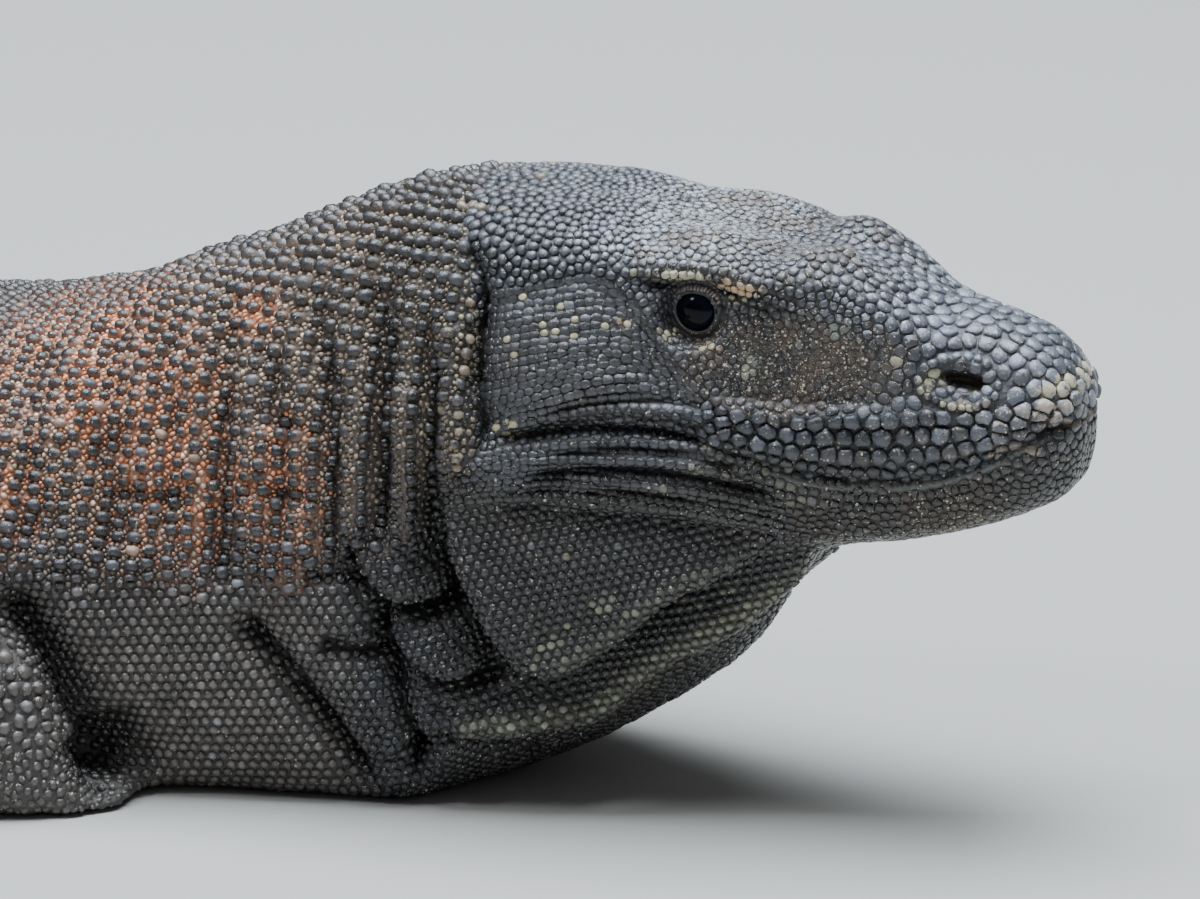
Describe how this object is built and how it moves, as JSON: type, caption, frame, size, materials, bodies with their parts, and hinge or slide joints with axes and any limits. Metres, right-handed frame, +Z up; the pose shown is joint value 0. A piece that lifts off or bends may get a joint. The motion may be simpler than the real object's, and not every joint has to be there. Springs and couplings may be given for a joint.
{
  "type": "komodo dragon",
  "caption": "Komodo dragon at rest: head raised, throat folds, belly on the ground, legs bent at its sides and a long tail curved behind.",
  "frame": {"origin": "middle of the footprint, at ground level", "axes": "+X towards the head, +Y towards the animal's left side, +Z up"},
  "size_m": [2.4058, 0.803, 0.2125],
  "materials": {
    "hide": "beaded scales, satin, dark grey with tan and orange skin between them",
    "claw": "dark horn, glossy",
    "eye": "wet, polished"
  },
  "bodies": {
    "root": {"head": "hide", "lower_jaw": "hide", "throat": "hide", "neck": "hide", "trunk": "hide", "tail_base": "hide", "tail_middle": "hide", "tail_end": "hide", "eye_right": "eye", "eye_left": "eye", "upper_arm_right": "hide", "forearm_right": "hide", "hand_right": "hide", "claw_fore_right_1": "claw", "claw_fore_right_2": "claw", "claw_fore_right_3": "claw", "claw_fore_right_4": "claw", "claw_fore_right_5": "claw", "thigh_right": "hide", "shin_right": "hide", "foot_right": "hide", "claw_hind_right_1": "claw", "claw_hind_right_2": "claw", "claw_hind_right_3": "claw", "claw_hind_right_4": "claw", "claw_hind_right_5": "claw", "upper_arm_left": "hide", "forearm_left": "hide", "hand_left": "hide", "claw_fore_left_1": "claw", "claw_fore_left_2": "claw", "claw_fore_left_3": "claw", "claw_fore_left_4": "claw", "claw_fore_left_5": "claw", "thigh_left": "hide", "shin_left": "hide", "foot_left": "hide", "claw_hind_left_1": "claw", "claw_hind_left_2": "claw", "claw_hind_left_3": "claw", "claw_hind_left_4": "claw", "claw_hind_left_5": "claw"}
  },
  "joints": []
}
